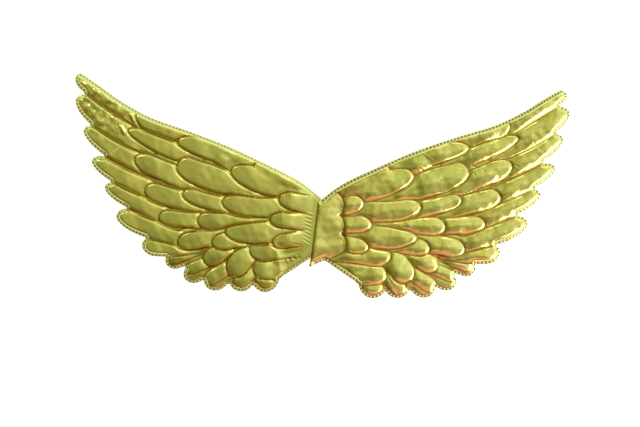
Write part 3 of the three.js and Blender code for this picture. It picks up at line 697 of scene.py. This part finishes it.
def wing_arrays(name):
    """Points, faces, back faces and the groove and hem weights of one wing: the snapped grid in front, a
    wall down from its border and a triangulated flat back."""
    quads = grid_faces()
    border = open_sides(quads)
    x, y, height, groove_shade = snapped(name, np.unique(border))
    used, packed = np.unique(quads, return_inverse=True)
    quads, border = packed.reshape(-1, 4), np.searchsorted(used, border)
    rim = np.unique(border)
    flat_x, flat_y = laid(name, x[used], y[used])
    front = np.stack([flat_x, flat_y, back_height(name, flat_x) + height[used]], axis=1)

    coarse = np.zeros(GX.shape, dtype=bool)
    coarse[::BACK_EVERY, ::BACK_EVERY] = True
    inner = coarse & (EDGE > BACK_INSIDE)
    inner_x, inner_y = laid(name, GX[inner], GY[inner])
    back_x = np.concatenate([flat_x[rim], inner_x])
    back_y = np.concatenate([flat_y[rim], inner_y])
    back = np.stack([back_x, back_y, back_height(name, back_x)], axis=1)
    fence = np.searchsorted(rim, border)
    plan = [Vector(point) for point in back[:, :2]]
    made = delaunay_2d_cdt(plan, fence.tolist(), [], FENCED, SAME_POINT)
    assert len(made[0]) == len(plan)
    back_faces = np.array(made[2])[:, ::-1] + len(used)

    below = fence + len(used)
    wall = np.stack([border[:, 1], border[:, 0], below[:, 0], below[:, 1]], axis=1)
    faces = np.vstack([quads, wall])
    if WINGS[name]["side"] < 0:
        faces = faces[:, ::-1]
    weights = {
        # the groove weight carries the painted shade into the foil's colour
        "groove": np.concatenate([groove_shade[used], np.zeros(len(back))]),
        "hem": np.concatenate([reliefs[name]["hem"].ravel()[used], np.ones(len(back))]),
    }
    return np.vstack([front, back]), faces, back_faces, weights


arrays = {name: wing_arrays(name) for name in WINGS}
both = np.vstack([points for points, *_ in arrays.values()])
MIDDLE = (both.min(axis=0) + both.max(axis=0)) / 2 * (1, 1, 0)
print("middle of the pair in the pattern's frame, mm", MIDDLE.round(2))

# %% [markdown]
# Colours are written as they look on a screen, and one function turns them to the linear values that
# a shader needs. Another adds a node with its settings and links, so a material reads as a list.

# %% Colour and node helpers


def linear(hex_colour):
    """sRGB to linear: a straight foot near black, then a power of 2.4."""
    value = np.array([int(hex_colour[i:i + 2], 16) for i in (1, 3, 5)]) / 255
    low, high = value / 12.92, ((value + 0.055) / 1.055) ** 2.4
    return (*np.where(value <= 0.04045, low, high), 1.0)


def add_node(tree, kind, settings=None, inputs=None):
    """Adds a node, sets its properties, and fills or links its inputs by name or number."""
    node = tree.nodes.new(kind)
    for key, value in (settings or {}).items():
        setattr(node, key, value)
    for key, value in (inputs or {}).items():
        if isinstance(value, bpy.types.NodeSocket):
            tree.links.new(value, node.inputs[key])
        else:
            node.inputs[key].default_value = value
    return node


def new_material(name):
    """An empty node material and its tree."""
    material = bpy.data.materials.new(name)
    material.use_nodes = True
    material.node_tree.nodes.clear()
    return material, material.node_tree


print("screen grey #808080 is linear", round(float(linear("#808080")[0]), 3))

# %% [markdown]
# Gold foil on cloth is a mirror of lacquered aluminium: its colour is that of the lacquer, its gloss
# is soft because the film follows the cloth. Grooves carry painted shade: their colour turns to a
# darker, brownish gold where shade falls in them, and the hem is painted paler as a painted sheen.
# A painted yellow would stay flat, so the shader is all metal and takes its tones from the room. The
# back isn't foil: it is plain spun cloth.

# %% Gold foil


def gold_foil():
    """Hot-pressed gold lacquer foil: a clear metallic shine, faint crinkles, painted shade in the grooves and
    a painted sheen on the hem.
    """
    material, tree = new_material("gold_foil_hot_pressed_on_cloth")
    place = add_node(tree, "ShaderNodeTexCoord").outputs["Object"]
    # each noise has its size in mm and its detail
    film, blotch, crinkle = (
        add_node(tree, "ShaderNodeTexNoise", inputs={
            "Vector": place, "Scale": 1 / (size * MM), "Detail": detail,
        }).outputs["Fac"] for size, detail in ((22, 4.0), (14, 3.0), (1.8, 2.0))
    )
    # the lacquer goes from a cool to a warm gold over the width of a feather
    tint = add_node(tree, "ShaderNodeMapRange", inputs={"Value": film, "From Min": 0.35, "From Max": 0.65})
    colour = add_node(tree, "ShaderNodeMix", {"data_type": "RGBA"}, {
        0: tint.outputs[0], 6: linear("#e0e38a"), 7: linear("#eae18c"),
    })
    # painted shade: grooves turn a brownish gold where shade falls in them; painted sheen: the hem turns
    # pale, as its rolled edge would catch the light
    for label, tone in (("groove", "#b08e36"), ("hem", "#dce0a6")):
        weight = add_node(tree, "ShaderNodeAttribute", {"attribute_name": label}).outputs["Fac"]
        colour = add_node(tree, "ShaderNodeMix", {"data_type": "RGBA"}, {
            0: weight, 6: colour.outputs[2], 7: linear(tone),
        })
    # patches as large as a thumb are a little duller, so highlights change along a feather
    rough = add_node(tree, "ShaderNodeMapRange", inputs={
        "Value": blotch, "From Min": 0.3, "From Max": 0.7, "To Min": 0.15, "To Max": 0.25,
    })
    # the cloth below shows as a fine crinkle, which breaks up the mirror
    bump = add_node(tree, "ShaderNodeBump", inputs={
        "Strength": 0.25, "Distance": 0.05 * MM, "Height": crinkle,
    })
    shader = add_node(tree, "ShaderNodeBsdfPrincipled", inputs={
        "Base Color": colour.outputs[2], "Metallic": 1.0, "Roughness": rough.outputs[0],
        "Normal": bump.outputs[0],
    })
    add_node(tree, "ShaderNodeOutputMaterial", inputs={"Surface": shader.outputs[0]})
    return material


def speckled(name, size, detail, dark, light, finish, dent=0.0):
    """A material of two tones that noise of one size mixes. A dent presses the noise in. Both are in mm."""
    material, tree = new_material(name)
    place = add_node(tree, "ShaderNodeTexCoord").outputs["Object"]
    grain = add_node(tree, "ShaderNodeTexNoise", inputs={
        "Vector": place, "Scale": 1 / (size * MM), "Detail": detail,
    }).outputs["Fac"]
    tone = add_node(tree, "ShaderNodeMix", {"data_type": "RGBA"}, {
        0: grain, 6: linear(dark), 7: linear(light),
    })
    if dent:
        bump = add_node(tree, "ShaderNodeBump", inputs={
            "Strength": 0.5, "Distance": dent * MM, "Height": grain,
        })
        finish = {**finish, "Normal": bump.outputs[0]}
    shader = add_node(tree, "ShaderNodeBsdfPrincipled", inputs={"Base Color": tone.outputs[2], **finish})
    add_node(tree, "ShaderNodeOutputMaterial", inputs={"Surface": shader.outputs[0]})
    return material


foil = gold_foil()
# spun backing cloth: a matt felt of short pressed fibres, which gives a soft speckle
backing = speckled("spun_backing_cloth_pressed", 0.9, 4.0, "#b9a862", "#d8cb92", {
    "Roughness": 0.85, "Sheen Weight": 0.3,
}, dent=0.15)
print("materials", foil.name, backing.name)

# %% [markdown]
# Whole arrays become a mesh in one go, and each wing gets its weights for grooves and hem. The foil
# is shaded smooth, the back is flat. Each padded wing takes the place of its CAD panel.

# %% The two wings


def build_mesh(name, points, quads, triangles):
    """A mesh from whole arrays: points in mm, four-sided faces and then three-sided ones."""
    mesh = bpy.data.meshes.new(name)
    corners = np.concatenate([quads.ravel(), triangles.ravel()]).astype(np.int32)
    starts = np.concatenate([4 * np.arange(len(quads)), quads.size + 3 * np.arange(len(triangles))])
    mesh.vertices.add(len(points))
    mesh.vertices.foreach_set("co", (points * MM).astype(np.float32).ravel())
    mesh.loops.add(len(corners))
    mesh.loops.foreach_set("vertex_index", corners)
    mesh.polygons.add(len(starts))
    mesh.polygons.foreach_set("loop_start", starts.astype(np.int32))
    mesh.update(calc_edges=True)
    return mesh


def place_object(name, mesh, *materials):
    """An object at the origin with its materials, linked to the scene."""
    made = bpy.data.objects.new(name, mesh)
    for material in materials:
        mesh.materials.append(material)
    bpy.context.scene.collection.objects.link(made)
    return made


for name, (points, faces, back_faces, weights) in arrays.items():
    mesh = build_mesh(name + "_padded", points - MIDDLE, faces, back_faces)
    for label, weight in weights.items():
        mesh.attributes.new(label, "FLOAT", "POINT").data.foreach_set("value", weight.astype(np.float32))
    is_back = np.arange(len(mesh.polygons)) >= len(faces)
    mesh.polygons.foreach_set("material_index", is_back.astype(np.int32))
    wing = place_object(name + "_padded", mesh, foil, backing)
    mesh.polygons.foreach_set("use_smooth", ~is_back)
    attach(wing, "root")
    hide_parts(name)
    print(wing.name, "triangles", 2 * len(faces) + len(back_faces))

# %% [markdown]
# An edging machine ran round each wing: short bright threads, and between two of them a painted
# shadow, a dark lens for the shade in the gap. Modelled threads catch the light one by one, which a
# bump line can't do. One thread and one shadow are worked out once, and arrays carry them along the
# outline.

# %% Stitched edge
STITCH_PITCH, STITCH_INSET = 4.25, 1.8
THREAD, STITCH_SHADOW = (1.15, 0.85, 0.4), (1.2, 0.8, 0.3)  # half length, half width and half height
AROUND, ALONG = 6, 6  # corners of a bead's circles, and steps along it
EDGE_POINTS = 40  # points of a feather's side, and of its tip's quarter
AHEAD, NUDGE = 0.3, 0.1  # directions come from places this far along, on a path and on the laid wing
ON_EDGE, NEAR_STEPS = 0.3, 2  # a stitch is at its inset within this, and the outside this much further


def bead(half_length, half_width, half_height):
    """A closed lens: circles across an axis whose radius follows a half circle along it."""
    turn = np.linspace(0, 2 * np.pi, AROUND, endpoint=False)
    angle = np.linspace(0, np.pi, ALONG + 1)[1:-1]
    x = -half_length * np.cos(angle)[:, None] * np.ones(AROUND)
    y = half_width * np.sin(angle)[:, None] * np.cos(turn)
    z = half_height * np.sin(angle)[:, None] * np.sin(turn)
    rings = np.stack([x, y, z], axis=-1).reshape(-1, 3)
    points = np.vstack([rings, [(-half_length, 0, 0), (half_length, 0, 0)]])
    ring, corner = np.meshgrid(np.arange(ALONG - 2), np.arange(AROUND), indexing="ij")
    here, after = ring * AROUND + corner, ring * AROUND + (corner + 1) % AROUND
    quads = np.stack([here, after, after + AROUND, here + AROUND], axis=-1).reshape(-1, 4)
    first, second = np.arange(AROUND), (np.arange(AROUND) + 1) % AROUND
    last = (ALONG - 2) * AROUND
    caps = np.vstack([
        np.stack([np.full(AROUND, len(rings)), second, first], axis=1),
        np.stack([np.full(AROUND, len(rings) + 1), last + first, last + second], axis=1),
    ])
    return points, quads, caps


def evenly(path, pitch):
    """Points and directions at even steps of arc length along a path."""
    run = np.concatenate([[0], np.cumsum(np.hypot(*np.diff(path, axis=0).T))])
    at = np.arange(pitch / 2, run[-1], pitch)
    place, ahead, behind = (
        np.stack([np.interp(at + shift, run, path[:, k]) for k in (0, 1)], axis=1)
        for shift in (0, AHEAD, -AHEAD)
    )
    way = ahead - behind
    return place, way / np.hypot(*way.T)[:, None]


def feather_edge(row, inset):
    """A feather's outline moved inwards: its two sides, and a quarter of an ellipse on each at the tip."""
    root_x, root_y, tip_x, tip_y, half, bow, above, below = row
    length = np.hypot(tip_x - root_x, tip_y - root_y)
    side = np.linspace(0, 1, EDGE_POINTS)[:-1]
    angle = np.linspace(0, np.pi / 2, EDGE_POINTS)
    upper, lower = (
        np.concatenate([side * (length - tip), length - tip + (tip - inset) * np.sin(angle)])
        for tip in (above, below)
    )
    width = (half - inset) * np.concatenate([np.ones(len(side)), np.cos(angle)])
    a = np.concatenate([upper, lower[::-1]])
    b = np.concatenate([width, -width[::-1]])
    u = np.clip(a / length, 0, 1)
    b = b + 4 * bow * u * (1 - u)
    cos, sin = (tip_x - root_x) / length, (tip_y - root_y) / length
    return np.stack([root_x + a * cos - b * sin, root_y + a * sin + b * cos], axis=1)


def stitch_places():
    """Places and directions along the whole outline, where the inset path really follows the edge."""
    slope = np.gradient(LEAD[:, 1], LEAD[:, 0])
    outward = np.stack([-slope, np.ones(len(slope))], axis=1) / np.hypot(1, slope)[:, None]
    paths = [LEAD - STITCH_INSET * outward] + [feather_edge(row, STITCH_INSET) for row in ROWS]
    found = [evenly(path, STITCH_PITCH) for path in paths]
    place = np.vstack([p for p, _ in found])
    way = np.vstack([w for _, w in found])
    on_edge = np.abs(panel_depth(*place.T) - STITCH_INSET) < ON_EDGE
    cell = ((place[:, ::-1] - (y_axis[0], x_axis[0])) / STEP).round().astype(int)
    cell = np.clip(cell, 0, np.array(GX.shape) - 1)
    near = spread(OUTSIDE, STITCH_INSET / STEP + NEAR_STEPS)[tuple(cell.T)]
    return place[on_edge & near], way[on_edge & near]


def carried(shape, name, place, way, shift, lift):
    """Copies of a small shape, turned to each direction and set on the hem at each place."""
    points, quads, caps = shape
    at = place + shift * way
    x, y = laid(name, *at.T)
    next_x, next_y = laid(name, *(at + NUDGE * way).T)
    run = np.stack([next_x - x, next_y - y], axis=1)
    run /= np.hypot(*run.T)[:, None]
    side = np.stack([-run[:, 1], run[:, 0]], axis=1)
    flat = points[:, 0, None] * run[:, None, :] + points[:, 1, None] * side[:, None, :]
    height = (back_height(name, x) + HEM + lift)[:, None] + points[:, 2]
    copies = np.concatenate([np.stack([x, y], axis=1)[:, None, :] + flat, height[..., None]], axis=2)
    step = (np.arange(len(place)) * len(points))[:, None, None]
    return copies.reshape(-1, 3), (quads + step).reshape(-1, 4), (caps + step).reshape(-1, 3)


stitch_at, stitch_way = stitch_places()
print("stitches round a wing", len(stitch_at))

# %% [markdown]
# The thread is polyester: bright and smooth, and it has a painted glow: its material emits a little
# light, so it stands out against the foil. Between two threads sits a painted shadow, a dark lens for
# the shade in the gap between the loops, drawn wider on the right wing, whose light makes that shade
# show more. Threads and shadows of a wing are one piece with two finishes, as one run of the machine
# made the stitches.

# %% Thread and painted stitch shadows
THREAD_LIFT, SHADOW_LIFT = 0.05, 0.02  # heights of their middles above the hem
SHADOW_SHARE = {"left_wing": 0.45, "right_wing": 0.9}  # how much of the gap the painted shadow fills
# lustrous edging thread: smooth twisted filaments, kept bright all along their bend by a painted glow from
# its emission
thread = speckled("polyester_edging_thread_painted_glow", 0.5, 2.0, "#e8e6a8", "#f6f6d0", {
    "Roughness": 0.4, "Sheen Weight": 0.5,
    "Emission Color": linear("#e8eec4"), "Emission Strength": 0.22,
})
# painted shadow between the thread loops: a dark, dull lens where the shade falls
stitch_shadow = speckled("painted_stitch_shadow", 0.8, 2.0, "#565a1c", "#7c7c3c", {"Roughness": 0.7})
for name, share in SHADOW_SHARE.items():
    shadow_lens = bead(share * STITCH_SHADOW[0], share * STITCH_SHADOW[1], STITCH_SHADOW[2])
    threads = carried(bead(*THREAD), name, stitch_at, stitch_way, 0, THREAD_LIFT)
    painted_shadows = carried(shadow_lens, name, stitch_at, stitch_way, STITCH_PITCH / 2, SHADOW_LIFT)
    points = np.vstack([threads[0], painted_shadows[0]]) - MIDDLE
    quads = np.vstack([threads[1], painted_shadows[1] + len(threads[0])])
    caps = np.vstack([threads[2], painted_shadows[2] + len(threads[0])])
    mesh = build_mesh(name + "_stitches", points, quads, caps)
    dark = np.concatenate([quads[:, 0], caps[:, 0]]) >= len(threads[0])
    edging = place_object(name + "_stitches", mesh, thread, stitch_shadow)
    mesh.polygons.foreach_set("material_index", dark.astype(np.int32))
    mesh.polygons.foreach_set("use_smooth", np.ones(len(dark), dtype=bool))
    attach(edging, "root")
    print(edging.name, "triangles", 2 * len(quads) + len(caps))

# %% [markdown]
# The picture has a plain white ground. A large matt sheet that glows a little gives it without a
# shadow's edge. It lies just under the part and is no piece of it.

# %% Floor
FLOOR_HALF, FLOOR_DROP = 40.0, 0.3  # half its width in m, and mm below the part, so that planes never meet
# white paper sweep: matt and bright, with a faint glow as under studio flash
paper, tree = new_material("white_paper_sweep_matt")
shader = add_node(tree, "ShaderNodeBsdfPrincipled", inputs={
    "Base Color": linear("#f4f4f2"), "Roughness": 0.9, "Specular IOR Level": 0.0,
    "Emission Color": linear("#ffffff"), "Emission Strength": 0.72,
})
add_node(tree, "ShaderNodeOutputMaterial", inputs={"Surface": shader.outputs[0]})
corners = np.array([(-1, -1), (1, -1), (1, 1), (-1, 1)]) * FLOOR_HALF / MM
floor_points = np.column_stack([corners, np.full(4, -FLOOR_DROP)])
floor_mesh = build_mesh("floor", floor_points, np.array([[0, 1, 2, 3]]), np.empty((0, 3)))
floor = place_object("floor", floor_mesh, paper)
print("floor, half width in m", FLOOR_HALF)

# %% [markdown]
# The camera looks straight down from far enough that the pads show no lean. Its upper side is towards
# the wing tips, and the pair is as wide in its picture as in the photo.

# %% Camera
FRAME, NOTCH, PAIR_WIDTH = (640, 427), (320, 199), 494  # picture, place of the notch and span, in pixels
DISTANCE, SENSOR = 1.6, 36.0
PIXEL = (cad_high.x - cad_low.x) / PAIR_WIDTH
camera = bpy.data.objects.new("camera", bpy.data.cameras.new("camera"))
bpy.context.scene.collection.objects.link(camera)
bpy.context.scene.camera = camera
camera.data.sensor_width = SENSOR
camera.data.lens = SENSOR * DISTANCE / (FRAME[0] * PIXEL)
camera.location = (
    (FRAME[0] / 2 - NOTCH[0]) * PIXEL - MIDDLE[0] * MM,
    (NOTCH[1] - FRAME[1] / 2) * PIXEL - MIDDLE[1] * MM,
    DISTANCE,
)
print("camera", [round(c, 4) for c in camera.location], "lens", round(camera.data.lens, 1))

# %% [markdown]
# Foil shows what stands around it. The right wing is lit by a broad softbox on the right, by a pink
# card below it and a pale one behind. Small cards give the left wing its thin bright rims and the
# sparkle at its tips. Each lamp is flagged off the other wing, because the two mirror different
# sides of the room.

# %% Light
# place and aim in m, size in m, watts, colour, spread in degrees, and the wing that it may light
LAMPS = {
    "right_softbox": ((0.8, -0.3, 0.5), (0.12, -0.02, 0), (0.7, 0.6), 5.0, "#ffffff", 180, "right_wing"),
    "pink_card": ((0.1, -0.42, 0.3), (0.1, -0.03, 0), (0.4, 0.36), 0.21, "#ffa4d0", 180, "right_wing"),
    "rim_card": ((0.25, 0.45, 0.75), (-0.15, 0.03, 0), (0.12, 0.12), 0.34, "#ffffff", 180, "left_wing"),
    "back_card": ((0.2, 0.7, 0.35), (0.15, 0, 0), (0.5, 0.12), 0.35, "#fffff0", 180, "right_wing"),
    "tip_card": ((-0.5, 0.45, 0.5), (-0.28, 0.11, 0), (0.26, 0.26), 0.03, "#f4fff0", 28, "left_wing"),
}
flagged = {name: bpy.data.collections.new("flagged_" + name) for name in WINGS}
for name, lit in flagged.items():
    lit.objects.link(bpy.data.objects[name + "_padded"])
    lit.objects.link(bpy.data.objects[name + "_stitches"])
flagged["right_wing"].objects.link(floor)

for name, (place, aim, size, watts, colour, angle, wing_name) in LAMPS.items():
    light = bpy.data.lights.new(name, "AREA")
    light.shape = "RECTANGLE"
    light.size, light.size_y = size
    light.energy = watts
    light.color = linear(colour)[:3]
    light.spread = np.radians(angle)
    lamp = bpy.data.objects.new(name, light)
    lamp.location = place
    lamp.rotation_euler = (Vector(aim) - Vector(place)).to_track_quat("-Z", "Y").to_euler()
    bpy.context.scene.collection.objects.link(lamp)
    lamp.light_linking.receiver_collection = flagged[wing_name]
print("lamps", list(LAMPS))

# %% [markdown]
# The rest of the room is a dome, which is what the foil mirrors: dim and olive on the left, bright on
# the right, warm at the front. Soft patches stand for the clutter of a room. They are kept out of the
# narrow band that the left wing's flat pads mirror, so these stay calm, as real ones do.

# %% Room
# stops of the colours across and along the dome, each from one side at 0 to the other at 1
DOME_ACROSS = (
    (0.01, "#7c7238"), (0.075, "#908a50"), (0.2, "#a2a06e"), (0.425, "#a9a97f"),
    (0.54, "#d0d0a6"), (0.625, "#f0f0de"), (0.95, "#ffffff"),
)
DOME_ALONG = (
    (0.025, "#74541e"), (0.125, "#c09868"), (0.22, "#e0bc9a"), (0.31, "#b4a890"), (0.39, "#b2ae9e"),
    (0.475, "#e0ded2"), (0.55, "#f8f8f4"), (0.65, "#ffffff"), (0.95, "#ffffff"),
)
CLUTTER = ((0.36, "#b8a696"), (0.46, "#eef4dc"), (0.6, "#ffffff"))  # the same for values of its noise
CLUTTER_SCALE = 9.0  # patches about a ninth of a radian wide
CALM_MIDDLE, CALM_HALF, CALM_END = -0.06, 0.08, 0.128  # no clutter in this band, all of it past the end
GLOW = 1.22


def studio_dome():
    """A dome whose colour is the product of a ramp from left to right, a ramp from front to back and
    soft clutter, which a smooth step keeps out of the calm band."""
    world = bpy.data.worlds.new("studio_dome")
    bpy.context.scene.world = world
    world.use_nodes = True
    tree = world.node_tree
    tree.nodes.clear()
    direction = add_node(tree, "ShaderNodeTexCoord").outputs["Generated"]
    axes = add_node(tree, "ShaderNodeSeparateXYZ", inputs={0: direction})
    across, along = (
        add_node(tree, "ShaderNodeMapRange", inputs={"Value": axes.outputs[axis], "From Min": -1.0})
        for axis in "XY"
    )
    noise = add_node(tree, "ShaderNodeTexNoise", inputs={
        "Vector": direction, "Scale": CLUTTER_SCALE, "Detail": 3.0,
    })
    beside = add_node(tree, "ShaderNodeMath", {"operation": "SUBTRACT"}, {
        0: axes.outputs["X"], 1: CALM_MIDDLE,
    })
    away = add_node(tree, "ShaderNodeMath", {"operation": "ABSOLUTE"}, {0: beside.outputs[0]})
    outside_band = add_node(tree, "ShaderNodeMapRange", {"interpolation_type": "SMOOTHSTEP"}, {
        "Value": away.outputs[0], "From Min": CALM_HALF, "From Max": CALM_END,
    })
    colour = linear("#ffffff")
    for value, stops, between, amount in (
        (across, DOME_ACROSS, "EASE", 1.0),
        (along, DOME_ALONG, "EASE", 1.0),
        (noise, CLUTTER, "LINEAR", outside_band.outputs[0]),
    ):
        ramp = add_node(tree, "ShaderNodeValToRGB", inputs={"Fac": value.outputs[0]})
        ramp.color_ramp.interpolation = between
        for at, tone in stops:
            ramp.color_ramp.elements.new(at).color = linear(tone)
        for end in (0, -1):
            ramp.color_ramp.elements.remove(ramp.color_ramp.elements[end])
        colour = add_node(tree, "ShaderNodeMix", {"data_type": "RGBA", "blend_type": "MULTIPLY"}, {
            0: amount, 6: colour, 7: ramp.outputs["Color"],
        }).outputs[2]
    glow = add_node(tree, "ShaderNodeBackground", inputs={"Color": colour, "Strength": GLOW})
    add_node(tree, "ShaderNodeOutputWorld", inputs={"Surface": glow.outputs[0]})
    return world


print("room", studio_dome().name)
bpy.context.scene.view_settings.view_transform = "Standard"
